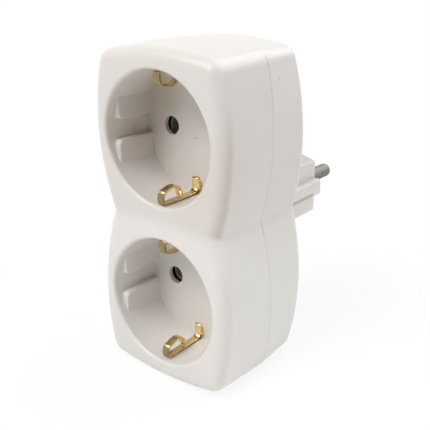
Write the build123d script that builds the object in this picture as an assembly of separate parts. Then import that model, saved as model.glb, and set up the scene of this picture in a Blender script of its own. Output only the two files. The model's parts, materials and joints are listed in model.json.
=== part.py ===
from build123d import *
import os

# Two-way plug-in socket adapter, millimetres.
# X runs to the right seen from the sockets, Y runs back to the plug, Z is up.
# The origin is the middle of the plug's end face.

# Housing outline: two pillow-shaped lobes, one above the other, that meet in a waist.
SOCKET_SPACING = 49.6
SEAM_HALF_WIDTH = 25.05
SEAM_LOBE_MID = 26.3
FRONT_HALF_WIDTH = 24.5
FRONT_LOBE_MID = 26.0
REAR_HALF_WIDTH = 25.35
REAR_LOBE_MID = 21.8
HALF_HEIGHT = 51.35
FRONT_HALF_HEIGHT = 50.15
REAR_HALF_HEIGHT = 51.2
SIDE_RADIUS = 83.5
CROWN_RADIUS = 105.0
CORNER_RADIUS = 5.0
WAIST_RADIUS = 1.6
FRONT_WAIST_RADIUS = 3.0
STANDING_FLAT = 0.3

# Housing depth, measured from the front face.
SEAM_DEPTH = 21.8
BODY_DEPTH = 38.9
FRONT_ROUND = 3.6
REAR_ROUND = 2.8
SEAM_BEVEL = 0.25
WALL = 2.0
FRONT_WALL = 3.0
REAR_WALL = 2.2
TONGUE_OUTER_INSET = 1.1
TONGUE_GAP = 0.15
TONGUE_HEIGHT = 1.5

# Each lobe's front is slightly domed, and both domes fall back to a shallow valley at the waist.
DOME_CREST = 36.0
VALLEY_DEPTH = 1.5
VALLEY_RADIUS = 6.0
FRONT_FACING = -0.95

# Socket recess.
RECESS_RADIUS = 19.6
RECESS_DEPTH = 17.5
RECESS_LIP = 1.0
CUP_WALL = 1.6
FLOOR_THICKNESS = 1.5
PIN_OFFSET = 9.5
PIN_HOLE_RADIUS = 2.9
GUIDE_FLAT = 17.0
GUIDE_GAP = 6.0
GUIDE_START = 3.0
GUIDE_CORNER = 1.8
GUIDE_ROUND = 0.8

# Earth clips: one bent strip each, at the top and bottom of both recesses.
CLIP_WIDTH = 2.3
CLIP_THICKNESS = 0.7
CLIP_SLOT_OFFSET = 14.8
CLIP_TAIL_OFFSET = 9.8
CLIP_RUN_OFFSET = 19.15
CLIP_SLOT_CLEARANCE = 0.05
CLIP_TAIL_HALF_WIDTH = 2.3
CLIP_FOOT_BEND = 0.4
CLIP_WALL_BEND = 2.0
CLIP_LUG_REACH = 1.95
CLIP_LUG_START = 15.3
CLIP_LUG_END = 18.4

# Folded nose of a clip seen from the side: depth and distance from the middle of its socket.
CLIP_NOSE = [(2.5, CLIP_RUN_OFFSET), (2.0, 17.5), (2.5, 15.5), (7.2, 14.4), (9.4, 15.9), (10.0, 18.3)]
CLIP_NOSE_BENDS = [0.7, 2.0, 1.0, 2.5, 2.5]

# Plug boss and pins.
BOSS_LENGTH = 21.0
BOSS_FLAT = 16.4
BOSS_SIDE_HALF_HEIGHT = 8.8
BOSS_MID_HALF_HEIGHT = 11.3
BOSS_WALL = 2.0
BOSS_END_WALL = 3.0
BOSS_CORNER = 0.8
BOSS_END_ROUND = 0.6
KEEL_HALF_WIDTH = 5.5
KEEL_RADIUS = 18.3
RIB_HALF_WIDTH = 2.8
RIB_REACH = 18.8
RIB_ROUND = 1.1
PLUG_PIN_RADIUS = 2.4
PLUG_PIN_LENGTH = 19.0
PLUG_PIN_TIP = 1.3
PIN_SEAT_RADIUS = 2.7
PIN_SHANK_RADIUS = 2.0
PIN_COLLAR_RADIUS = 3.7
PIN_COLLAR_LENGTH = 1.6
PIN_SPIGOT_RADIUS = 1.5
PIN_HEAD_RADIUS = 2.3
PIN_HEAD_LENGTH = 0.9
EARTH_STRIP_WIDTH = 4.6
EARTH_STRIP_THICKNESS = 0.7
EARTH_STRIP_SEAT = 14.9
EARTH_STRIP_CLEARANCE = 0.2
EARTH_STRIP_BEND = 0.6
EARTH_HOOK_LENGTH = 3.0

# Current-carrying strips and contacts inside.
CONTACT_RADIUS = 2.35
CONTACT_THICKNESS = 0.6
CONTACT_START = 20.3
CONTACT_LENGTH = 10.5
CONTACT_TAB = 8.5
CONTACT_ROLL = 285
CONTACT_RIVET_DROP = 6.3
JAW_SPRING_THICKNESS = 0.5
JAW_SPRING_LENGTH = 3.0
JAW_SPRING_START = 26.0
JAW_SPRING_START_ANGLE = 40
JAW_SPRING_SPAN = 240
BAR_THICKNESS = 0.8
BAR_START = 22.0
BAR_END = 31.0
BAR_EAR_HALF_WIDTH = 4.5
BAR_EAR_REACH = 5.6
BAR_BEND = 1.2
BAR_END_GAP = 0.5
BAR_GAP = 0.6
SPINE_HALF_WIDTH = 3.0
SPINE_THICKNESS = 0.8
RIVET_RADIUS = 1.0
RIVET_HEAD_RADIUS = 1.7
RIVET_HEAD_LENGTH = 0.6
SUPPORT_WIDTH = 2.2
SUPPORT_LENGTH = 2.6
FRONT_SUPPORT = 11.0
REAR_SUPPORT = 16.0

# Housing screws, driven from the rear into posts of the front shell.
SCREW_X = 16.2
SCREW_Z = 43.6
FRONT_POST_RADIUS = 2.9
REAR_POST_RADIUS = 4.0
SCREW_RADIUS = 1.2
SCREW_PILOT_RADIUS = 1.25
SCREW_HOLE_RADIUS = 1.6
SCREW_HEAD_RADIUS = 2.6
SCREW_WELL_RADIUS = 2.9
SCREW_HEAD_LENGTH = 2.0
SCREW_SEAT = 25.2
SCREW_LENGTH = 12.0
SCREW_HEAD_ROUND = 0.8
SCREW_CROSS_LENGTH = 3.2
SCREW_CROSS_WIDTH = 0.8
SCREW_CROSS_DEPTH = 1.2

# Distance below which two places count as one.
SAME_PLACE = 0.1

# Places that follow from the sizes above.
FRONT = -(BOSS_LENGTH + BODY_DEPTH)
SOCKETS = {"upper": SOCKET_SPACING / 2, "lower": -SOCKET_SPACING / 2}
FLOOR_BACK = RECESS_DEPTH + FLOOR_THICKNESS
REAR_INNER = BODY_DEPTH - REAR_WALL
PLUG_FACE = BODY_DEPTH + BOSS_LENGTH
SPINE_FRONT = FLOOR_BACK + CLIP_THICKNESS
SPINE_BACK = SPINE_FRONT + SPINE_THICKNESS
BAR_INNER = PIN_OFFSET + CONTACT_RADIUS + CONTACT_THICKNESS
BAR_OUTER = BAR_INNER + BAR_THICKNESS
EAR_BACK = REAR_INNER - BAR_GAP
EAR_FRONT = EAR_BACK - BAR_THICKNESS
EARTH_HOOK_SEAT = EARTH_STRIP_THICKNESS / 2 + EARTH_STRIP_BEND
EARTH_RIVET_OFFSET = (CLIP_SLOT_OFFSET + CLIP_TAIL_OFFSET) / 2
EARTH_RIVETS = {turn * (SOCKET_SPACING / 2 + step * EARTH_RIVET_OFFSET): step < 0
                for turn in (-1, 1) for step in (-1, 1)}
CONTACT_RIVET_DEPTH = CONTACT_START + CONTACT_LENGTH / 2
SCREW_PLACES = [(x, z) for x in (-SCREW_X, SCREW_X) for z in (-SCREW_Z, SCREW_Z)]


def at_depth(depth):
    """Plane across the adapter, at a depth behind the front face, seen from the front."""
    return Plane.XZ.offset(-(FRONT + depth))


def along_depth(sketch, start, end):
    """Solid of a sketch drawn on the front view, from one depth to another."""
    return extrude(at_depth(start) * sketch, -(end - start))


def rod(radius, x, z, start, end):
    """Round bar along the depth."""
    return along_depth(Pos(x, z) * Circle(radius), start, end)


def block(x_range, z_range, start, end):
    """Straight block along the depth."""
    width = x_range[1] - x_range[0]
    height = z_range[1] - z_range[0]
    centre = Pos(sum(x_range) / 2, sum(z_range) / 2)
    return along_depth(centre * Rectangle(width, height), start, end)


def outline(half_width, lobe_mid, half_height, inset, waist_radius=WAIST_RADIUS):
    """Waisted outline of two pillow lobes, drawn inside the nominal line by an inset."""
    side = Circle(SIDE_RADIUS - inset)
    side_centre = half_width - SIDE_RADIUS
    crown = Pos(0, half_height - CROWN_RADIUS) * Circle(CROWN_RADIUS - inset)
    upper_half = Pos(0, half_height) * Rectangle(4 * half_width, 2 * half_height)
    lobe = (Pos(side_centre, lobe_mid) * side) & (Pos(-side_centre, lobe_mid) * side)
    lobe = lobe & crown & upper_half
    lobe = fillet(lobe.vertices().group_by(Axis.Y)[-1], CORNER_RADIUS - inset)
    both = lobe + mirror(lobe, Plane.XZ)
    waist = both.vertices().filter_by_position(Axis.Y, -SAME_PLACE, SAME_PLACE)
    return fillet(waist, waist_radius + inset)


def seam_outline(inset=0.0):
    """Outline where the two shells meet."""
    return outline(SEAM_HALF_WIDTH, SEAM_LOBE_MID, HALF_HEIGHT, inset)


def front_outline(inset=0.0):
    """Outline of the front face before its edge is rounded."""
    return outline(FRONT_HALF_WIDTH, FRONT_LOBE_MID, FRONT_HALF_HEIGHT, inset, FRONT_WAIST_RADIUS)


def rear_outline(inset=0.0):
    """Outline of the rear face, with a wider waist."""
    return outline(REAR_HALF_WIDTH, REAR_LOBE_MID, REAR_HALF_HEIGHT, inset)


def tapered(*stations):
    """Straight-sided body through outlines, each given with its depth."""
    return loft([at_depth(depth) * section for section, depth in stations], ruled=True)


def bent_strip(points, radii, thickness, width):
    """Strip bent along points given as depth and height, with its width along X."""
    places = [(FRONT + depth, height) for depth, height in points]
    path = FilletPolyline(*places, radius=radii)
    return extrude(Plane.YZ * trace(path, thickness), width / 2, both=True)


def guide_ribs(height):
    """The four guide ribs of one recess, two on each side with a gap between them."""
    ribs = []
    for side in (-1, 1):
        beyond_flat = Pos(side * 2 * GUIDE_FLAT, 0) * Rectangle(2 * GUIDE_FLAT, 2 * RECESS_RADIUS)
        wall_ring = Circle(RECESS_RADIUS + CUP_WALL / 2) & beyond_flat
        pair = wall_ring - Rectangle(4 * RECESS_RADIUS, GUIDE_GAP)
        for section in pair.faces():
            rib = along_depth(Pos(0, height) * section, GUIDE_START, RECESS_DEPTH)
            cross_edges = rib.edges().filter_by(Axis.X).group_by(Axis.Y)[0]
            rib = fillet(cross_edges.sort_by(lambda edge: abs(edge.center().Z - height))[0], GUIDE_CORNER)
            flat = rib.faces().sort_by(lambda face: abs(face.center().X))[0]
            by_height = flat.edges().filter_by(Axis.Y).sort_by(lambda edge: abs(edge.center().Z - height))
            floor_edge = flat.edges().sort_by(Axis.Y)[-1]
            ribs.append(fillet(flat.edges() - [by_height[-1], floor_edge], GUIDE_ROUND))
    return ribs


def front_relief():
    """Block whose front face is domed over each lobe, with a rounded valley between the domes."""
    radius = (DOME_CREST ** 2 + VALLEY_DEPTH ** 2) / (2 * VALLEY_DEPTH)
    dome = Circle(radius)
    profile = Pos(FRONT + radius, DOME_CREST) * dome + Pos(FRONT + radius, -DOME_CREST) * dome
    profile = profile & Pos(FRONT + SEAM_DEPTH / 2, 0) * Rectangle(SEAM_DEPTH, 4 * HALF_HEIGHT)
    valley = profile.vertices().filter_by_position(Axis.Y, -SAME_PLACE, SAME_PLACE)
    profile = fillet(valley.sort_by(Axis.X)[0], VALLEY_RADIUS)
    return extrude(Plane.YZ * profile, 2 * SEAM_HALF_WIDTH, both=True)


def recess_mouths(shell):
    """Front edges of both recesses."""
    def on_mouth(edge):
        start = edge @ 0
        from_axis = Vector(start.X, 0, abs(start.Z) - SOCKET_SPACING / 2).length
        return abs(from_axis - RECESS_RADIUS) < SAME_PLACE
    return shell.edges().filter_by_position(Axis.Y, FRONT, FRONT + FRONT_WALL).filter_by(on_mouth)


def front_shell():
    """Front half of the housing, moulded with both socket recesses."""
    bevel = (seam_outline(SEAM_BEVEL), SEAM_DEPTH)
    shell = tapered((front_outline(), 0), (seam_outline(), SEAM_DEPTH - SEAM_BEVEL), bevel)
    shell = shell & front_relief()
    front_faces = shell.faces().filter_by(lambda face: face.normal_at().Y < FRONT_FACING)
    shell = fillet(front_faces.edges().filter_by(Axis.X, reverse=True), FRONT_ROUND)
    shell -= tapered((front_outline(WALL), FRONT_WALL), (seam_outline(WALL), SEAM_DEPTH))
    for height in SOCKETS.values():
        shell += rod(RECESS_RADIUS + CUP_WALL, 0, height, WALL, FLOOR_BACK)
    for height in SOCKETS.values():
        shell -= rod(RECESS_RADIUS, 0, height, -RECESS_LIP, RECESS_DEPTH)
    shell = fillet(recess_mouths(shell), RECESS_LIP)
    tongue = seam_outline(TONGUE_OUTER_INSET) - seam_outline(WALL)
    shell += along_depth(tongue, SEAM_DEPTH - TONGUE_HEIGHT, SEAM_DEPTH + TONGUE_HEIGHT)
    half_slot = CLIP_THICKNESS / 2 + CLIP_SLOT_CLEARANCE
    half_width = CLIP_WIDTH / 2 + CLIP_SLOT_CLEARANCE
    for height in SOCKETS.values():
        shell += guide_ribs(height)
        for x in (-PIN_OFFSET, PIN_OFFSET):
            shell -= rod(PIN_HOLE_RADIUS, x, height, RECESS_DEPTH, FLOOR_BACK)
        for slot in (height - CLIP_SLOT_OFFSET, height + CLIP_SLOT_OFFSET):
            slot_up = (slot - half_slot, slot + half_slot)
            shell -= block((-half_width, half_width), slot_up, RECESS_DEPTH, FLOOR_BACK)
    for x, z in SCREW_PLACES:
        shell += rod(FRONT_POST_RADIUS, x, z, WALL, SEAM_DEPTH)
        shell -= rod(SCREW_PILOT_RADIUS, x, z, SEAM_DEPTH - SCREW_LENGTH, SEAM_DEPTH)
    shell += bar_supports(FRONT_SUPPORT, FLOOR_BACK, BAR_START)
    return shell - standing_flat()


def standing_flat():
    """Thin slice off the crowned bottom, so that the adapter stands level."""
    slice_up = (-HALF_HEIGHT, -HALF_HEIGHT + STANDING_FLAT)
    return block((-SEAM_HALF_WIDTH, SEAM_HALF_WIDTH), slice_up, 0, BODY_DEPTH)


def bar_supports(height, start, end):
    """Four pads that hold the edges of both contact bars, above and below the middle."""
    inner = (BAR_INNER + BAR_OUTER - SUPPORT_WIDTH) / 2
    pads = []
    for side in (-1, 1):
        for z in (-height, height):
            x_range = sorted((side * inner, side * (inner + SUPPORT_WIDTH)))
            pads.append(block(x_range, (z - SUPPORT_LENGTH / 2, z + SUPPORT_LENGTH / 2), start, end))
    return pads


def boss_section():
    """Plug boss along its axis: a flat-sided body with a keel above and below and a rib each side."""
    sagitta = BOSS_MID_HALF_HEIGHT - BOSS_SIDE_HALF_HEIGHT
    arc_radius = (BOSS_FLAT ** 2 + sagitta ** 2) / (2 * sagitta)
    lift = BOSS_MID_HALF_HEIGHT - arc_radius
    body = (Pos(0, lift) * Circle(arc_radius)) & (Pos(0, -lift) * Circle(arc_radius))
    body = body & Rectangle(2 * BOSS_FLAT, 4 * BOSS_MID_HALF_HEIGHT)
    body = fillet(body.vertices(), BOSS_CORNER)
    keel = Circle(KEEL_RADIUS) & Rectangle(2 * KEEL_HALF_WIDTH, 4 * KEEL_RADIUS)
    channel_width = EARTH_STRIP_WIDTH + 2 * EARTH_STRIP_CLEARANCE
    channel_place = EARTH_STRIP_SEAT + KEEL_RADIUS / 2
    for turn in (-1, 1):
        keel -= Pos(0, turn * channel_place) * Rectangle(channel_width, KEEL_RADIUS)
    rib = Rectangle(2 * RIB_REACH, 2 * RIB_HALF_WIDTH)
    return body + keel + fillet(rib.vertices(), RIB_ROUND)


def boss_cavity():
    """Hollow of the plug boss, open to the housing."""
    room = Rectangle(2 * (BOSS_FLAT - BOSS_WALL), 2 * (BOSS_SIDE_HALF_HEIGHT - BOSS_WALL))
    keel_room = Rectangle(2 * (KEEL_HALF_WIDTH - BOSS_WALL), 2 * (EARTH_STRIP_SEAT - BOSS_WALL))
    return fillet(room.vertices(), BOSS_CORNER) + keel_room


def rear_shell():
    """Rear half of the housing, moulded with the plug boss."""
    bevel = (seam_outline(SEAM_BEVEL), SEAM_DEPTH)
    shell = tapered(bevel, (seam_outline(), SEAM_DEPTH + SEAM_BEVEL), (rear_outline(), BODY_DEPTH))
    shell = fillet(shell.faces().sort_by(Axis.Y)[-1].edges(), REAR_ROUND)
    shell -= tapered((seam_outline(WALL), SEAM_DEPTH), (rear_outline(WALL), REAR_INNER))
    rebate = seam_outline(TONGUE_OUTER_INSET - TONGUE_GAP)
    shell -= along_depth(rebate, SEAM_DEPTH, SEAM_DEPTH + TONGUE_HEIGHT + TONGUE_GAP)
    boss = along_depth(boss_section(), REAR_INNER, PLUG_FACE)
    boss = fillet(boss.faces().sort_by(Axis.Y)[-1].edges(), BOSS_END_ROUND)
    shell += boss
    shell -= along_depth(boss_cavity(), REAR_INNER, PLUG_FACE - BOSS_END_WALL)
    for side in (-1, 1):
        shell -= rod(PIN_SEAT_RADIUS, side * PIN_OFFSET, 0, PLUG_FACE - BOSS_END_WALL, PLUG_FACE)
        half_width = EARTH_STRIP_WIDTH / 2 + EARTH_STRIP_CLEARANCE
        seat = sorted((side * EARTH_STRIP_SEAT, side * (EARTH_STRIP_SEAT + 2 * EARTH_STRIP_THICKNESS)))
        shell -= block((-half_width, half_width), seat, REAR_INNER, BODY_DEPTH)
        hook = sorted((side * (EARTH_STRIP_SEAT - EARTH_HOOK_LENGTH), side * EARTH_STRIP_SEAT))
        shell -= block((-half_width, half_width), hook, PLUG_FACE - EARTH_HOOK_SEAT, PLUG_FACE)
    for x, z in SCREW_PLACES:
        shell += rod(REAR_POST_RADIUS, x, z, SEAM_DEPTH, REAR_INNER)
        shell -= rod(SCREW_HOLE_RADIUS, x, z, SEAM_DEPTH, SCREW_SEAT)
        shell -= rod(SCREW_WELL_RADIUS, x, z, SCREW_SEAT, BODY_DEPTH)
    shell += bar_supports(REAR_SUPPORT, BAR_END, REAR_INNER)
    return shell - standing_flat()


def earth_clip(height, turn):
    """Bent strip at the top (turn 1) or bottom (turn -1) of a recess, with a folded nose and a lug."""
    behind = FLOOR_BACK + CLIP_THICKNESS / 2
    before = RECESS_DEPTH - CLIP_THICKNESS / 2
    foot = [(behind, CLIP_TAIL_OFFSET), (behind, CLIP_SLOT_OFFSET), (before, CLIP_SLOT_OFFSET)]
    side_view = foot + [(before, CLIP_RUN_OFFSET)] + CLIP_NOSE
    bends = [CLIP_FOOT_BEND, CLIP_FOOT_BEND, CLIP_WALL_BEND] + CLIP_NOSE_BENDS
    points = [(depth, height + turn * offset) for depth, offset in side_view]
    clip = bent_strip(points, bends, CLIP_THICKNESS, CLIP_WIDTH)
    tail_end = CLIP_SLOT_OFFSET - CLIP_THICKNESS
    tail = sorted((height + turn * CLIP_TAIL_OFFSET, height + turn * tail_end))
    clip += block((-CLIP_TAIL_HALF_WIDTH, CLIP_TAIL_HALF_WIDTH), tail, FLOOR_BACK, SPINE_FRONT)
    lug = sorted((height + turn * CLIP_LUG_START, height + turn * CLIP_LUG_END))
    lug_across = sorted((0, -turn * CLIP_LUG_REACH))
    clip += block(lug_across, lug, RECESS_DEPTH - CLIP_THICKNESS, RECESS_DEPTH)
    rivet_height = height + turn * EARTH_RIVET_OFFSET
    return clip - rod(RIVET_RADIUS, 0, rivet_height, FLOOR_BACK, SPINE_FRONT)


def plug_earth_strip(turn):
    """Brass strip along the top (turn 1) or bottom (turn -1) of the plug, led in to the earth spine."""
    line = EARTH_STRIP_SEAT + EARTH_STRIP_THICKNESS / 2
    outer = PLUG_FACE - EARTH_STRIP_THICKNESS / 2
    inner = SPINE_BACK + EARTH_STRIP_THICKNESS / 2
    foot = SOCKET_SPACING / 2 - CLIP_SLOT_OFFSET
    side_view = [(outer, line - EARTH_HOOK_LENGTH), (outer, line), (inner, line), (inner, foot)]
    points = [(depth, turn * offset) for depth, offset in side_view]
    strip = bent_strip(points, EARTH_STRIP_BEND, EARTH_STRIP_THICKNESS, EARTH_STRIP_WIDTH)
    rivet_height = turn * (SOCKET_SPACING / 2 - EARTH_RIVET_OFFSET)
    return strip - rod(RIVET_RADIUS, 0, rivet_height, SPINE_BACK, SPINE_BACK + EARTH_STRIP_THICKNESS)


def earth_spine():
    """Flat brass strip behind both recesses that joins all earth contacts."""
    end = SOCKET_SPACING / 2 + CLIP_SLOT_OFFSET
    spine = block((-SPINE_HALF_WIDTH, SPINE_HALF_WIDTH), (-end, end), SPINE_FRONT, SPINE_BACK)
    for z in EARTH_RIVETS:
        spine -= rod(RIVET_RADIUS, 0, z, SPINE_FRONT, SPINE_BACK)
    return spine


def earth_rivets():
    """Four rivets: the inner two also hold the plug's earth strips."""
    rivets = []
    for z, holds_strip in EARTH_RIVETS.items():
        back = SPINE_BACK + (EARTH_STRIP_THICKNESS if holds_strip else 0)
        rivet = rod(RIVET_RADIUS, 0, z, FLOOR_BACK, back)
        rivets.append(rivet + rod(RIVET_HEAD_RADIUS, 0, z, back, back + RIVET_HEAD_LENGTH))
    return rivets


def contact(side, height):
    """Rolled brass sleeve that grips a plug pin, with a flat tab towards the waist."""
    turn = 1 if height > 0 else -1
    middle = CONTACT_RADIUS + CONTACT_THICKNESS / 2
    roll = CenterArc((0, 0), middle, 0 if side > 0 else 180, side * turn * CONTACT_ROLL)
    tab = Line((side * middle, 0), (side * middle, -turn * CONTACT_TAB))
    section = trace([roll, tab], CONTACT_THICKNESS)
    place = Pos(side * PIN_OFFSET, height)
    sleeve = along_depth(place * section, CONTACT_START, CONTACT_START + CONTACT_LENGTH)
    return sleeve - contact_rivet(side, height, RIVET_RADIUS)


def contact_rivet(side, height, radius, overhang=0.0):
    """Round bar across a contact's tab and its bar, longer by an overhang at both ends."""
    turn = 1 if height > 0 else -1
    start = BAR_INNER - CONTACT_THICKNESS - overhang
    place = Plane(origin=(side * start, FRONT + CONTACT_RIVET_DEPTH, height - turn * CONTACT_RIVET_DROP),
                  z_dir=(side, 0, 0))
    return extrude(place * Circle(radius), CONTACT_THICKNESS + BAR_THICKNESS + 2 * overhang)


def contact_rivets():
    """One rivet for each socket contact, with a flat head at both ends."""
    rivets = []
    for height in SOCKETS.values():
        for side in (-1, 1):
            heads = contact_rivet(side, height, RIVET_HEAD_RADIUS, RIVET_HEAD_LENGTH)
            heads -= contact_rivet(side, height, 2 * RIVET_HEAD_RADIUS)
            rivets.append(contact_rivet(side, height, RIVET_RADIUS) + heads)
    return rivets


def jaw_spring(side, height):
    """Steel ring spring that presses a contact sleeve together."""
    turn = 1 if height > 0 else -1
    middle = CONTACT_RADIUS + CONTACT_THICKNESS + JAW_SPRING_THICKNESS / 2
    start = (0 if side > 0 else 180) + side * turn * JAW_SPRING_START_ANGLE
    ring = trace(CenterArc((0, 0), middle, start, side * turn * JAW_SPRING_SPAN), JAW_SPRING_THICKNESS)
    place = Pos(side * PIN_OFFSET, height)
    return along_depth(place * ring, JAW_SPRING_START, JAW_SPRING_START + JAW_SPRING_LENGTH)


def contact_bar(side):
    """Brass strip on edge that links both contacts of a side, with an ear that carries a plug pin."""
    strip_end = SOCKET_SPACING / 2 - BAR_END_GAP
    across = sorted((side * BAR_INNER, side * BAR_OUTER))
    ear_across = sorted((side * BAR_EAR_REACH, side * BAR_OUTER))
    ear_up = (-BAR_EAR_HALF_WIDTH, BAR_EAR_HALF_WIDTH)
    bar = block(across, (-strip_end, strip_end), BAR_START, BAR_END)
    bar += block(across, ear_up, BAR_END, EAR_BACK)
    bar += block(ear_across, ear_up, EAR_FRONT, EAR_BACK)
    back_edges = bar.edges().filter_by(Axis.Z).group_by(Axis.Y)[-1]
    bend = back_edges.sort_by(lambda edge: abs(edge.center().X))[-1]
    bar = fillet(bend, BAR_BEND)
    bar -= rod(PIN_SPIGOT_RADIUS, side * PIN_OFFSET, 0, EAR_FRONT, EAR_BACK)
    for height in SOCKETS.values():
        bar -= contact_rivet(side, height, RIVET_RADIUS)
    return bar


def plug_pin(side):
    """Turned pin with a rounded tip, a seat and collar in the boss and a spigot riveted to a bar's ear."""
    x = side * PIN_OFFSET
    pin = rod(PLUG_PIN_RADIUS, x, 0, PLUG_FACE, PLUG_FACE + PLUG_PIN_LENGTH)
    pin = fillet(pin.edges().sort_by(Axis.Y)[-1], PLUG_PIN_TIP)
    collar_end = PLUG_FACE - BOSS_END_WALL
    pin += rod(PIN_SEAT_RADIUS, x, 0, collar_end, PLUG_FACE)
    pin += rod(PIN_COLLAR_RADIUS, x, 0, collar_end - PIN_COLLAR_LENGTH, collar_end)
    pin += rod(PIN_SHANK_RADIUS, x, 0, EAR_BACK, collar_end - PIN_COLLAR_LENGTH)
    pin += rod(PIN_SPIGOT_RADIUS, x, 0, EAR_FRONT, EAR_BACK)
    return pin + rod(PIN_HEAD_RADIUS, x, 0, EAR_FRONT - PIN_HEAD_LENGTH, EAR_FRONT)


def housing_screws():
    """Four cross-head screws that hold the shells together."""
    screws = []
    bar = Rectangle(SCREW_CROSS_LENGTH, SCREW_CROSS_WIDTH)
    cross = bar + Rot(0, 0, 90) * bar
    head_end = SCREW_SEAT + SCREW_HEAD_LENGTH
    for x, z in SCREW_PLACES:
        screw = rod(SCREW_HEAD_RADIUS, x, z, SCREW_SEAT, head_end)
        screw = fillet(screw.edges().sort_by(Axis.Y)[-1], SCREW_HEAD_ROUND)
        screw += rod(SCREW_RADIUS, x, z, SCREW_SEAT - SCREW_LENGTH, SCREW_SEAT)
        screw -= along_depth(Pos(x, z) * cross, head_end - SCREW_CROSS_DEPTH, head_end)
        screws.append(screw)
    return screws


def save(shape, name):
    """Writes one piece, or a group of like pieces, as a part file."""
    if isinstance(shape, list):
        shape = Compound(children=shape)
    export_step(shape, f"parts/{name}.step")


os.makedirs("parts", exist_ok=True)
save(front_shell(), "front_shell")
save(rear_shell(), "rear_shell")
save(earth_spine(), "earth_spine")
save(earth_rivets(), "earth_rivets")
save(contact_rivets(), "contact_rivets")
save(housing_screws(), "housing_screws")
for side, side_name in ((-1, "left"), (1, "right")):
    save(contact_bar(side), f"{side_name}_contact_bar")
    save(plug_pin(side), f"{side_name}_plug_pin")
    for row, height in SOCKETS.items():
        save(contact(side, height), f"{row}_{side_name}_contact")
        save(jaw_spring(side, height), f"{row}_{side_name}_jaw_spring")
for turn, end_name in ((-1, "bottom"), (1, "top")):
    save(plug_earth_strip(turn), f"{end_name}_plug_earth_strip")
    for row, height in SOCKETS.items():
        save(earth_clip(height, turn), f"{row}_{end_name}_earth_clip")
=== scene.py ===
import json
import math
from collections import namedtuple

import bmesh
import bpy
from mathutils import Matrix, Vector


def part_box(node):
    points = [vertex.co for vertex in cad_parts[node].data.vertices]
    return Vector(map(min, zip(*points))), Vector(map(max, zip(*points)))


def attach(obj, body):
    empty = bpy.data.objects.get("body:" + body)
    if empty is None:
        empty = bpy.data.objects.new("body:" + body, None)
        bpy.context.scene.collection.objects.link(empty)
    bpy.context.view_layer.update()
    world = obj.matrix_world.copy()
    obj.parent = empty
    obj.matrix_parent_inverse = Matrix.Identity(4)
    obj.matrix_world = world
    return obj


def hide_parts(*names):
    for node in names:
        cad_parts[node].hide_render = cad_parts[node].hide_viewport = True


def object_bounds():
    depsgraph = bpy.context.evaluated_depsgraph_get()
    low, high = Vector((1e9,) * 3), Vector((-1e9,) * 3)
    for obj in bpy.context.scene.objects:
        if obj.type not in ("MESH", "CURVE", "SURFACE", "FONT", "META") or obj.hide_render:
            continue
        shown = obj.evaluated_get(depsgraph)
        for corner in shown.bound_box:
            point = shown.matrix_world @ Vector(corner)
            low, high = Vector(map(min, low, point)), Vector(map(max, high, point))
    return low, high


# Two-way plug-in adapter with earthed round-pin sockets: finishes of its pieces, pressed earth clips, and a
# plain studio with the camera.
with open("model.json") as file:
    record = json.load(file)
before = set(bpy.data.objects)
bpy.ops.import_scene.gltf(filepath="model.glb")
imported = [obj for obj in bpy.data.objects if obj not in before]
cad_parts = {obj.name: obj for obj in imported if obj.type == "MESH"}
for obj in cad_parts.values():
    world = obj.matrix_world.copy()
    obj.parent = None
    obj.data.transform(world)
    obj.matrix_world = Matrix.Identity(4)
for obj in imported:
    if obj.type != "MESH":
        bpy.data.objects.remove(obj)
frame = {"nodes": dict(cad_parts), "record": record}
cad_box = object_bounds()
nodes = frame["nodes"]

# Fields of the lamps, noises, specks and painted shade, and metals that are listed below.
Lamp = namedtuple("Lamp", "name place size power colour")
Noise = namedtuple("Noise", "scale detail")
Speck = namedtuple("Speck", "colour right behind above radius reach")
Metal = namedtuple("Metal", "bright tarnish roughness line_scale relief")

# Camera: place and nearest distance shown in metres, angles in radians, sensor in millimetres, and the focal
# length and principal point in pixels of the square image.
IMAGE_SIZE = 430
SENSOR_WIDTH = 36.0
CAMERA_PLACE = (0.12744, -0.18798, 0.07017)
CAMERA_NEAR = 0.01
CAMERA_YAW = 0.6170
CAMERA_PITCH = 0.2933
CAMERA_ROLL = -0.0128
FOCAL_PIXELS = 668.1
PRINCIPAL_POINT = (261.8, 172.0)

# Studio: the floor, how much shadow it shows, the distances over which that fades, and the even light from
# all round.
FLOOR_SIZE = 6.0
FLOOR_COLOUR = (0.93, 0.93, 0.93, 1.0)
FLOOR_SHADOW = 0.16
SHADOW_NEAR = 0.06
SHADOW_FAR = 0.13
AMBIENT = 0.012
WHITE = (1.0, 1.0, 1.0, 1.0)

# Square soft lamps, which all look at a point inside the housing: place and edge in metres, power in watts.
LAMP_TARGET = (0.0, -0.03, 0.0)
LAMPS = [
    Lamp("key", (-0.13, -0.78, 0.74), size=0.4, power=4.25, colour=(1.0, 0.965, 0.94)),
    Lamp("key_left", (-0.45, -0.65, 0.75), size=0.4, power=2.7, colour=(1.0, 0.99, 0.89)),
    Lamp("overhead", (-0.05, -0.5, 0.85), size=0.5, power=3.2, colour=(0.82, 0.90, 1.0)),
    Lamp("back", (0.3, 0.55, 0.78), size=1.0, power=8.9, colour=(0.93, 0.985, 1.0)),
    Lamp("right", (0.9, 0.0, 0.3), size=0.8, power=2.1, colour=(1.0, 0.95, 0.92)),
    Lamp("left", (-0.9, -0.1, 0.35), size=0.6, power=0.5, colour=(1.0, 1.0, 1.0)),
]

# Places on the part, in metres: front of the housing, joint of the two shells, front end of the clips, depth
# of a recess, spacing of the sockets, and height of the upper socket's axis above the waist.
HOUSING_FRONT = cad_box[0].y
JOINT_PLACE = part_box("rear_shell")[0].y
NOSE_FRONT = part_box("upper_bottom_earth_clip")[0].y
RECESS_DEPTH = 0.0175
SOCKET_SPACING = 0.0496
SOCKET_HEIGHT = SOCKET_SPACING / 2
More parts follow.
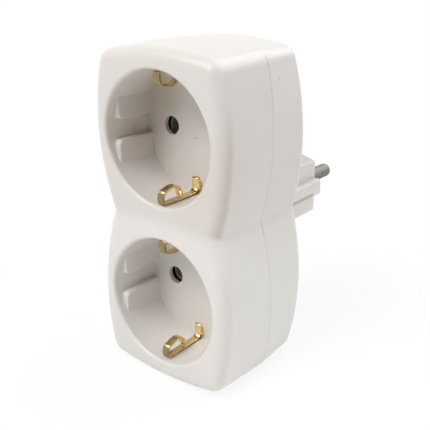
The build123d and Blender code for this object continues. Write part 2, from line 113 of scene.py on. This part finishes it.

# White plastic: colours of the lower and the upper half, the upper one darker, which is painted shade, and
# warmer;
# half height of the shift between them at the waist, and the blotches that move the shift.
LOWER_WHITE = (0.75, 0.714, 0.68, 1.0)
UPPER_SHADED_WHITE = (0.69, 0.645, 0.612, 1.0)
TINT_SHIFT_HALF = 0.004
BLOTCHES = Noise(scale=22.0, detail=2.0)
BLOTCH_SHIFT = 0.2

# Gloss of the plastic, the smears that vary it, and the fine grain of its surface.
PLASTIC_IOR = 1.49
PLASTIC_ROUGHNESS = 0.34
SMEARS = Noise(scale=140.0, detail=4.0)
SMEAR_ROUGHNESS = 0.05
GRAIN = Noise(scale=3200.0, detail=2.0)
GRAIN_RELIEF = 0.05
GRAIN_DEPTH = 0.0001

# Painted light along the joint of the two shells, which lightens the shade in its groove: half width and
# strength.
JOINT_HALF = 0.00028
JOINT_PAINTED_LIGHT = 0.18

# Painted shade of a groove in the side of the plug's ribs, in colour only: height, half width, how far out
# the ribs' sides begin, its ends along the plug, and its colour.
GROOVE_HEIGHT = -0.0017
GROOVE_HALF = 0.0007
GROOVE_SIDE = 0.0178
GROOVE_ENDS = (-0.021, -0.0048)
GROOVE_SHADE = (0.47, 0.44, 0.385, 1.0)

# Painted shade: a darker band along the right front edge of the upper half, where the lamps reach least:
# place of its middle, half width, how far right it begins, the heights over which it comes in at the waist,
# those over which it fades out, and its colour.
BAND_PLACE = HOUSING_FRONT + 0.0031
BAND_HALF = 0.0022
BAND_SIDE = 0.015
BAND_FOOT = (-0.0012, 0.0008)
BAND_FADE = (0.022, 0.042)
BAND_PAINTED_SHADE = (0.615, 0.55, 0.485, 1.0)

# Specks, stains, a darker patch and painted shade. Each is placed from the front of the housing and the axis
# of the upper socket, and shows within a reach of that axis, which takes in the recess alone or the whole
# shell.
RECESS_REACH = 0.0199
SHELL_REACH = 1.0
FLOOR_SPECK = Speck(
    colour=(0.20, 0.17, 0.14, 1.0),
    right=0.00013, behind=RECESS_DEPTH, above=-0.00242, radius=0.00042, reach=RECESS_REACH)
# A darker, warmer patch over the right of the front, centred in the upper half below the socket's axis.
FRONT_CAST = Speck(
    colour=(0.68, 0.617, 0.57, 1.0),
    right=0.0180, behind=0.0, above=-0.0098, radius=0.023, reach=SHELL_REACH)
# Painted shade over the left part of the upper recess.
WALL_PAINTED_SHADE = Speck(
    colour=(0.605, 0.553, 0.493, 1.0),
    right=-0.0175, behind=0.0119, above=0.0022, radius=0.020, reach=RECESS_REACH)
FLOOR_STAIN = Speck(
    colour=(0.56, 0.49, 0.40, 1.0),
    right=-0.0125, behind=RECESS_DEPTH, above=0.0102, radius=0.011, reach=RECESS_REACH)
RIB_SMUDGE = Speck(
    colour=(0.54, 0.48, 0.415, 1.0),
    right=-0.0195, behind=0.0114, above=-0.0015, radius=0.0022, reach=RECESS_REACH)
SIDE_SPECK = Speck(
    colour=(0.25, 0.22, 0.19, 1.0),
    right=0.0235, behind=0.0263, above=0.0166, radius=0.0004, reach=SHELL_REACH)
FRONT_SPECKS_AND_SHADE = [FLOOR_SPECK, FRONT_CAST, WALL_PAINTED_SHADE, FLOOR_STAIN, RIB_SMUDGE]
REAR_SPECKS = [SIDE_SPECK]

# Metals: their colours, the scale of their lines on each axis, which is low along the way of drawing or
# round the turned axis and high across it, and the finish of each slot.
BRASS = (0.74, 0.56, 0.28, 1.0)
DULL_BRASS = (0.42, 0.28, 0.10, 1.0)
DARK_BRASS = (0.44, 0.42, 0.35, 1.0)
BROWN_BRASS = (0.34, 0.32, 0.26, 1.0)
NICKEL = (0.215, 0.206, 0.188, 1.0)
DULL_NICKEL = (0.165, 0.157, 0.143, 1.0)
STEEL = (0.58, 0.58, 0.58, 1.0)
DULL_STEEL = (0.45, 0.45, 0.46, 1.0)
DRAWN_DEEP = (5000.0, 120.0, 5000.0)
DRAWN_UPRIGHT = (5000.0, 5000.0, 120.0)
TURNED = (60.0, 6000.0, 60.0)
METALS = {
    "earth_brass": Metal(BRASS, DULL_BRASS, roughness=0.14, line_scale=DRAWN_DEEP, relief=0.08),
    "brass_strip": Metal(DARK_BRASS, BROWN_BRASS, roughness=0.75, line_scale=DRAWN_UPRIGHT, relief=0.1),
    "brass_rivet": Metal(BRASS, DULL_BRASS, roughness=0.3, line_scale=TURNED, relief=0.1),
    "nickel_plate": Metal(NICKEL, DULL_NICKEL, roughness=0.6, line_scale=TURNED, relief=0.12),
    "spring_steel": Metal(STEEL, DULL_STEEL, roughness=0.3, line_scale=TURNED, relief=0.1),
    "screw_steel": Metal(STEEL, DULL_STEEL, roughness=0.3, line_scale=TURNED, relief=0.1),
}

# Lines of every metal: their noise, their depth, and how they change the roughness from hollow to crest. Its
# tarnish: the noise, and the range of it over which tarnish comes in.
LINES = Noise(scale=1.0, detail=2.0)
LINE_DEPTH = 0.00005
LINE_ROUGHNESS = (-0.04, 0.08)
TARNISH = Noise(scale=420.0, detail=3.0)
TARNISH_RANGE = (0.5, 0.75)

# Painted reflection on the noses of the clips, a dark brown for the dark surroundings they mirror: how far
# behind their front end it starts and is full, and its colour.
NOSE_REFLECTION_SPAN = (0.0008, 0.0003)
NOSE_PAINTED_REFLECTION = (0.30, 0.23, 0.105, 1.0)

# Rounded edges of the pressed clips: width and steps, the turn that makes an edge sharp, the turn that still
# counts as flat, and the gap across which loose corners are merged.
CLIP_EDGE = 0.00009
CLIP_EDGE_STEPS = 2
SHARP_TURN = math.radians(50.0)
FLAT_TURN = math.radians(0.5)
MERGE_GAP = 1e-6

# Kinds of socket in a node group.
COLOUR = "NodeSocketColor"
NUMBER = "NodeSocketFloat"
VECTOR = "NodeSocketVector"


def set_camera():
    """Camera at the fitted view."""
    data = bpy.data.cameras.new("view")
    data.sensor_width = SENSOR_WIDTH
    data.lens = FOCAL_PIXELS / IMAGE_SIZE * SENSOR_WIDTH
    data.shift_x = (IMAGE_SIZE / 2 - PRINCIPAL_POINT[0]) / IMAGE_SIZE
    data.shift_y = (PRINCIPAL_POINT[1] - IMAGE_SIZE / 2) / IMAGE_SIZE
    data.clip_start = CAMERA_NEAR
    camera = bpy.data.objects.new("view", data)
    forward = Vector((
        -math.sin(CAMERA_YAW) * math.cos(CAMERA_PITCH),
        math.cos(CAMERA_YAW) * math.cos(CAMERA_PITCH),
        -math.sin(CAMERA_PITCH),
    ))
    level = Vector((math.cos(CAMERA_YAW), math.sin(CAMERA_YAW), 0.0))
    down = forward.cross(level)
    right = level * math.cos(CAMERA_ROLL) + down * math.sin(CAMERA_ROLL)
    up = level * math.sin(CAMERA_ROLL) - down * math.cos(CAMERA_ROLL)
    turn = Matrix((right, up, -forward)).transposed()
    camera.matrix_world = Matrix.Translation(CAMERA_PLACE) @ turn.to_4x4()
    bpy.context.scene.collection.objects.link(camera)
    bpy.context.scene.camera = camera


def add_lamp(lamp):
    """Square soft lamp, turned to the housing."""
    data = bpy.data.lights.new(lamp.name, "AREA")
    data.shape = "SQUARE"
    data.size = lamp.size
    data.energy = lamp.power
    data.color = lamp.colour
    softbox = bpy.data.objects.new(lamp.name, data)
    softbox.location = lamp.place
    beam = Vector(LAMP_TARGET) - Vector(lamp.place)
    softbox.rotation_euler = beam.to_track_quat("-Z", "Y").to_euler()
    bpy.context.scene.collection.objects.link(softbox)


def feed(tree, value, target):
    """Link a socket to an input, or set the input to a plain value."""
    if isinstance(value, bpy.types.NodeSocket):
        tree.links.new(value, target)
    else:
        target.default_value = value


def calculate(tree, operation, *values):
    """Math on sockets and plain numbers."""
    node = tree.nodes.new("ShaderNodeMath")
    node.operation = operation
    for value, target in zip(values, node.inputs):
        feed(tree, value, target)
    return node.outputs[0]


def combine(tree, operation, values):
    """One value from several, by the same math on each in turn."""
    total = values[0]
    for value in values[1:]:
        total = calculate(tree, operation, total, value)
    return total


def calculate_vector(tree, operation, output, *values):
    """Math on sockets and plain vectors, with the name of the output that is wanted."""
    node = tree.nodes.new("ShaderNodeVectorMath")
    node.operation = operation
    for value, target in zip(values, node.inputs):
        feed(tree, value, target)
    return node.outputs[output]


def remap(tree, value, start, end, low=0.0, high=1.0, interpolation="LINEAR"):
    """Value carried from one range to another and held at its ends."""
    node = tree.nodes.new("ShaderNodeMapRange")
    node.interpolation_type = interpolation
    feed(tree, value, node.inputs["Value"])
    feed(tree, start, node.inputs["From Min"])
    feed(tree, end, node.inputs["From Max"])
    feed(tree, low, node.inputs["To Min"])
    feed(tree, high, node.inputs["To Max"])
    return node.outputs["Result"]


def ease(tree, value, start, end, low=0.0, high=1.0):
    """Value carried from one range to another with soft ends."""
    return remap(tree, value, start, end, low, high, "SMOOTHSTEP")


def mix_colour(tree, amount, first, second):
    """Colour between two others."""
    node = tree.nodes.new("ShaderNodeMix")
    node.data_type = "RGBA"
    feed(tree, amount, node.inputs["Factor"])
    feed(tree, first, node.inputs["A"])
    feed(tree, second, node.inputs["B"])
    return node.outputs["Result"]


def add_noise(tree, place, noise):
    """Cloudy noise from 0 to 1."""
    node = tree.nodes.new("ShaderNodeTexNoise")
    feed(tree, place, node.inputs["Vector"])
    feed(tree, noise.scale, node.inputs["Scale"])
    feed(tree, noise.detail, node.inputs["Detail"])
    return node.outputs["Fac"]


def place_on_piece(tree):
    """Place on the piece in metres, in the part's own frame."""
    return tree.nodes.new("ShaderNodeTexCoord").outputs["Object"]


def axes_on_piece(tree):
    """Place on the piece as its three numbers, X, Y and Z."""
    node = tree.nodes.new("ShaderNodeSeparateXYZ")
    tree.links.new(place_on_piece(tree), node.inputs[0])
    return node.outputs


def background_ray(tree):
    """1 for rays that should see the plain white background, 0 for light."""
    rays = tree.nodes.new("ShaderNodeLightPath").outputs
    seen = [rays["Is Camera Ray"], rays["Is Glossy Ray"], rays["Is Transmission Ray"]]
    return combine(tree, "MAXIMUM", seen)


def mix_shaders(tree, amount, first, second, output):
    """Output that goes from one shader to another."""
    mix = tree.nodes.new("ShaderNodeMixShader")
    tree.links.new(amount, mix.inputs[0])
    tree.links.new(first.outputs[0], mix.inputs[1])
    tree.links.new(second.outputs[0], mix.inputs[2])
    tree.links.new(mix.outputs[0], output.inputs["Surface"])


def set_world():
    """Faint even light from all round, and plain white behind the object."""
    world = bpy.data.worlds.new("studio")
    world.use_nodes = True
    tree = world.node_tree
    tree.nodes.clear()
    output = tree.nodes.new("ShaderNodeOutputWorld")
    light = tree.nodes.new("ShaderNodeBackground")
    light.inputs["Color"].default_value = WHITE
    light.inputs["Strength"].default_value = AMBIENT
    white = tree.nodes.new("ShaderNodeBackground")
    white.inputs["Color"].default_value = WHITE
    mix_shaders(tree, background_ray(tree), light, white, output)
    bpy.context.scene.world = world


def new_material(name):
    """Empty node material and its output."""
    material = bpy.data.materials.new(name)
    material.use_nodes = True
    tree = material.node_tree
    tree.nodes.clear()
    output = tree.nodes.new("ShaderNodeOutputMaterial")
    return material, tree, output


def floor_material():
    """Pale floor that shows white, with a trace of shadow close to the object."""
    material, tree, output = new_material("studio_floor")
    matt = tree.nodes.new("ShaderNodeBsdfDiffuse")
    matt.inputs["Color"].default_value = FLOOR_COLOUR
    white = tree.nodes.new("ShaderNodeEmission")
    away = calculate_vector(tree, "LENGTH", "Value", place_on_piece(tree))
    share = remap(tree, away, SHADOW_NEAR, SHADOW_FAR, low=1.0 - FLOOR_SHADOW)
    amount = calculate(tree, "MULTIPLY", background_ray(tree), share)
    mix_shaders(tree, amount, matt, white, output)
    return material


def add_floor():
    """Floor under the lowest point of the object."""
    shape = bmesh.new()
    bmesh.ops.create_grid(shape, x_segments=1, y_segments=1, size=FLOOR_SIZE / 2)
    bmesh.ops.translate(shape, verts=shape.verts, vec=(0.0, 0.0, cad_box[0].z))
    mesh = bpy.data.meshes.new("floor")
    shape.to_mesh(mesh)
    shape.free()
    floor = bpy.data.objects.new("floor", mesh)
    floor.data.materials.append(floor_material())
    bpy.context.scene.collection.objects.link(floor)


def start_group(name, inputs, outputs):
    """Empty shader node group, the sockets that it is given and those that it fills."""
    group = bpy.data.node_groups.new(name, "ShaderNodeTree")
    for direction, sockets in (("INPUT", inputs), ("OUTPUT", outputs)):
        for label, kind in sockets.items():
            group.interface.new_socket(name=label, in_out=direction, socket_type=kind)
    given = group.nodes.new("NodeGroupInput").outputs
    filled = group.nodes.new("NodeGroupOutput").inputs
    return group, given, filled


def place_group(tree, group, values):
    """Copy of a shared effect in a material, with its own values, as its outputs."""
    node = tree.nodes.new("ShaderNodeGroup")
    node.node_tree = group
    for label, value in values.items():
        feed(tree, value, node.inputs[label])
    return node.outputs


def moulded_surface_group():
    """Moulded plastic: painted shade coming in above the waist, painted light along the joint, grain and
    uneven gloss.
    """
    inputs = {"Tint": COLOUR, "Shaded Tint": COLOUR, "Roughness": NUMBER}
    outputs = {"Colour": COLOUR, "Gloss": NUMBER, "Height": NUMBER}
    group, given, filled = start_group("moulded_surface", inputs, outputs)
    place = place_on_piece(group)
    axes = axes_on_piece(group)
    # The upper half's darker colour, painted shade, comes in above the waist.
    upper = ease(group, axes["Z"], -TINT_SHIFT_HALF, TINT_SHIFT_HALF)
    blotches = remap(group, add_noise(group, place, BLOTCHES), 0.0, 1.0, -BLOTCH_SHIFT, BLOTCH_SHIFT)
    shift = calculate(group, "ADD", upper, blotches)
    tint = mix_colour(group, shift, given["Tint"], given["Shaded Tint"])
    # Painted light along the joint, which lightens the shade in its groove.
    lip = calculate(group, "COMPARE", axes["Y"], JOINT_PLACE, JOINT_HALF)
    pale = calculate(group, "MULTIPLY", lip, JOINT_PAINTED_LIGHT)
    colour = mix_colour(group, pale, tint, WHITE)
    smears = remap(group, add_noise(group, place, SMEARS), 0.0, 1.0, -SMEAR_ROUGHNESS, SMEAR_ROUGHNESS)
    gloss = calculate(group, "ADD", smears, given["Roughness"])
    feed(group, colour, filled["Colour"])
    feed(group, gloss, filled["Gloss"])
    feed(group, add_noise(group, place, GRAIN), filled["Height"])
    return group


def speck_and_shade_group():
    """Speck, stain or patch of painted shade in moulded plastic, with a soft rim, within a reach of the
    upper socket's axis.
    """
    inputs = {"Colour": COLOUR, "Speck": COLOUR, "Place": VECTOR, "Radius": NUMBER, "Reach": NUMBER}
    group, given, filled = start_group("speck", inputs, {"Colour": COLOUR})
    place = place_on_piece(group)
    away = calculate_vector(group, "DISTANCE", "Value", place, given["Place"])
    spot = ease(group, away, 0.0, given["Radius"], low=1.0, high=0.0)
    across_axis = (1.0, 0.0, 1.0)
    axis_place = (0.0, 0.0, SOCKET_HEIGHT)
    flat = calculate_vector(group, "MULTIPLY", "Vector", place, across_axis)
    from_axis = calculate_vector(group, "DISTANCE", "Value", flat, axis_place)
    within = calculate(group, "LESS_THAN", from_axis, given["Reach"])
    amount = calculate(group, "MULTIPLY", spot, within)
    feed(group, mix_colour(group, amount, given["Colour"], given["Speck"]), filled["Colour"])
    return group


def groove_shade_group():
    """Painted shade: a dark line in the side of the plug's ribs, where a groove would be shaded."""
    group, given, filled = start_group("rib_groove_painted_shade", {"Colour": COLOUR}, {"Colour": COLOUR})
    axes = axes_on_piece(group)
    start, end = GROOVE_ENDS
    limits = [
        calculate(group, "GREATER_THAN", calculate(group, "ABSOLUTE", axes["X"]), GROOVE_SIDE),
        calculate(group, "COMPARE", axes["Y"], (start + end) / 2, (end - start) / 2),
        calculate(group, "COMPARE", axes["Z"], GROOVE_HEIGHT, GROOVE_HALF),
    ]
    amount = combine(group, "MULTIPLY", limits)
    feed(group, mix_colour(group, amount, given["Colour"], GROOVE_SHADE), filled["Colour"])
    return group


def edge_shade_group():
    """Painted shade: a darker band along one front edge, which fades upwards."""
    group, given, filled = start_group("edge_painted_shade", {"Colour": COLOUR}, {"Colour": COLOUR})
    axes = axes_on_piece(group)
    fade_start, fade_end = BAND_FADE
    limits = [
        ease(group, axes["X"], BAND_SIDE, BAND_SIDE + BAND_HALF),
        ease(group, axes["Y"], BAND_PLACE - BAND_HALF, BAND_PLACE),
        ease(group, axes["Y"], BAND_PLACE + BAND_HALF, BAND_PLACE),
        ease(group, axes["Z"], *BAND_FOOT),
        ease(group, axes["Z"], fade_end, fade_start),
    ]
    amount = combine(group, "MULTIPLY", limits)
    feed(group, mix_colour(group, amount, given["Colour"], BAND_PAINTED_SHADE), filled["Colour"])
    return group


def rolled_metal_group():
    """Metal drawn or turned along an axis: fine lines, faint tarnish and uneven polish."""
    inputs = {"Bright": COLOUR, "Tarnish": COLOUR, "Line Scale": VECTOR, "Roughness": NUMBER}
    outputs = {"Colour": COLOUR, "Gloss": NUMBER, "Height": NUMBER}
    group, given, filled = start_group("rolled_metal", inputs, outputs)
    place = place_on_piece(group)
    stretched = calculate_vector(group, "MULTIPLY", "Vector", place, given["Line Scale"])
    lines = add_noise(group, stretched, LINES)
    tarnish = remap(group, add_noise(group, place, TARNISH), *TARNISH_RANGE)
    uneven = remap(group, lines, 0.0, 1.0, *LINE_ROUGHNESS)
    gloss = calculate(group, "ADD", uneven, given["Roughness"])
    feed(group, mix_colour(group, tarnish, given["Bright"], given["Tarnish"]), filled["Colour"])
    feed(group, gloss, filled["Gloss"])
    feed(group, lines, filled["Height"])
    return group


def nose_reflection_group():
    """Painted reflection: dark brown on the front end of the brass clips, for dark surroundings they mirror.
    """
    group, given, filled = start_group("clip_nose_painted_reflection", {"Colour": COLOUR}, {"Colour": COLOUR})
    axes = axes_on_piece(group)
    start, full = NOSE_REFLECTION_SPAN
    amount = ease(group, axes["Y"], NOSE_FRONT + start, NOSE_FRONT + full)
    feed(group, mix_colour(group, amount, given["Colour"], NOSE_PAINTED_REFLECTION), filled["Colour"])
    return group


def add_shader(tree, output, effect, colour, relief, depth):
    """Shader with a colour, and with the gloss and the relief of a surface effect."""
    shader = tree.nodes.new("ShaderNodeBsdfPrincipled")
    bump = tree.nodes.new("ShaderNodeBump")
    bump.inputs["Strength"].default_value = relief
    bump.inputs["Distance"].default_value = depth
    tree.links.new(colour, shader.inputs["Base Color"])
    tree.links.new(effect["Gloss"], shader.inputs["Roughness"])
    tree.links.new(effect["Height"], bump.inputs["Height"])
    tree.links.new(bump.outputs["Normal"], shader.inputs["Normal"])
    tree.links.new(shader.outputs["BSDF"], output.inputs["Surface"])
    return shader


def housing_plastic(name, surface, speck, specks, line):
    """Semi-gloss white plastic of a shell, with its specks, stains and painted shade, and one line of
    painted shade along it.
    """
    material, tree, output = new_material(name)
    look = {"Tint": LOWER_WHITE, "Shaded Tint": UPPER_SHADED_WHITE, "Roughness": PLASTIC_ROUGHNESS}
    effect = place_group(tree, surface, look)
    colour = effect["Colour"]
    for mark in specks:
        place = (mark.right, HOUSING_FRONT + mark.behind, SOCKET_HEIGHT + mark.above)
        spot = {"Speck": mark.colour, "Place": place, "Radius": mark.radius, "Reach": mark.reach}
        colour = place_group(tree, speck, {"Colour": colour, **spot})["Colour"]
    colour = place_group(tree, line, {"Colour": colour})["Colour"]
    shader = add_shader(tree, output, effect, colour, GRAIN_RELIEF, GRAIN_DEPTH)
    shader.inputs["IOR"].default_value = PLASTIC_IOR
    return material


def drawn_metal(name, surface, metal, mark=None):
    """Metal with lines of drawing or turning, and a mark, such as a painted reflection, where one is given.
    """
    material, tree, output = new_material(name)
    look = {
        "Bright": metal.bright,
        "Tarnish": metal.tarnish,
        "Line Scale": metal.line_scale,
        "Roughness": metal.roughness,
    }
    effect = place_group(tree, surface, look)
    colour = effect["Colour"]
    if mark is not None:
        colour = place_group(tree, mark, {"Colour": colour})["Colour"]
    shader = add_shader(tree, output, effect, colour, metal.relief, LINE_DEPTH)
    shader.inputs["Metallic"].default_value = 1.0
    return material


def finishes():
    """Material of each slot of the record."""
    plastic = moulded_surface_group()
    speck = speck_and_shade_group()
    rolled = rolled_metal_group()
    # The noses of the clips take a painted dark reflection.
    marks = {"earth_brass": nose_reflection_group()}
    finish = {
        # The front's line is painted shade along its right edge, the rear's the painted shade of a groove in
        # the ribs.
        "front_housing": housing_plastic("front_housing", plastic, speck, FRONT_SPECKS_AND_SHADE, edge_shade_group()),
        "rear_housing": housing_plastic("rear_housing", plastic, speck, REAR_SPECKS, groove_shade_group()),
    }
    for slot, metal in METALS.items():
        finish[slot] = drawn_metal(slot, rolled, metal, marks.get(slot))
    return finish


def dress_nodes(finish):
    """Each piece of the frame takes its slot's finish."""
    for piece in frame["record"]["subparts"]:
        slots = nodes[piece["node"]].data.materials
        slots.clear()
        slots.append(finish[piece["material_slot"]])


def is_sharp(edge):
    """Whether the two faces at an edge meet at a sharp turn."""
    return len(edge.link_faces) == 2 and edge.calc_face_angle() > SHARP_TURN


def pressed_clip(node, finish):
    """Earth clip with the small rounded edges that pressing leaves, in place of its plain node."""
    shape = bmesh.new()
    shape.from_mesh(nodes[node].data)
    bmesh.ops.remove_doubles(shape, verts=shape.verts, dist=MERGE_GAP)
    bmesh.ops.dissolve_limit(shape, angle_limit=FLAT_TURN, verts=shape.verts, edges=shape.edges)
    sharp = [edge for edge in shape.edges if is_sharp(edge)]
    bmesh.ops.bevel(
        shape, geom=sharp, offset=CLIP_EDGE, offset_type="OFFSET", affect="EDGES",
        segments=CLIP_EDGE_STEPS, profile=0.5, material=-1)
    for face in shape.faces:
        face.smooth = True
    mesh = bpy.data.meshes.new(f"pressed_{node}")
    shape.to_mesh(mesh)
    shape.free()
    clip = bpy.data.objects.new(f"pressed_{node}", mesh)
    clip.data.materials.append(finish["earth_brass"])
    bpy.context.scene.collection.objects.link(clip)
    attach(clip, "root")
    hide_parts(node)


set_camera()
set_world()
add_floor()
finish = finishes()
dress_nodes(finish)
for row in ("upper", "lower"):
    for end in ("top", "bottom"):
        pressed_clip(f"{row}_{end}_earth_clip", finish)
for lamp in LAMPS:
    add_lamp(lamp)
bpy.context.scene.view_settings.view_transform = "Standard"
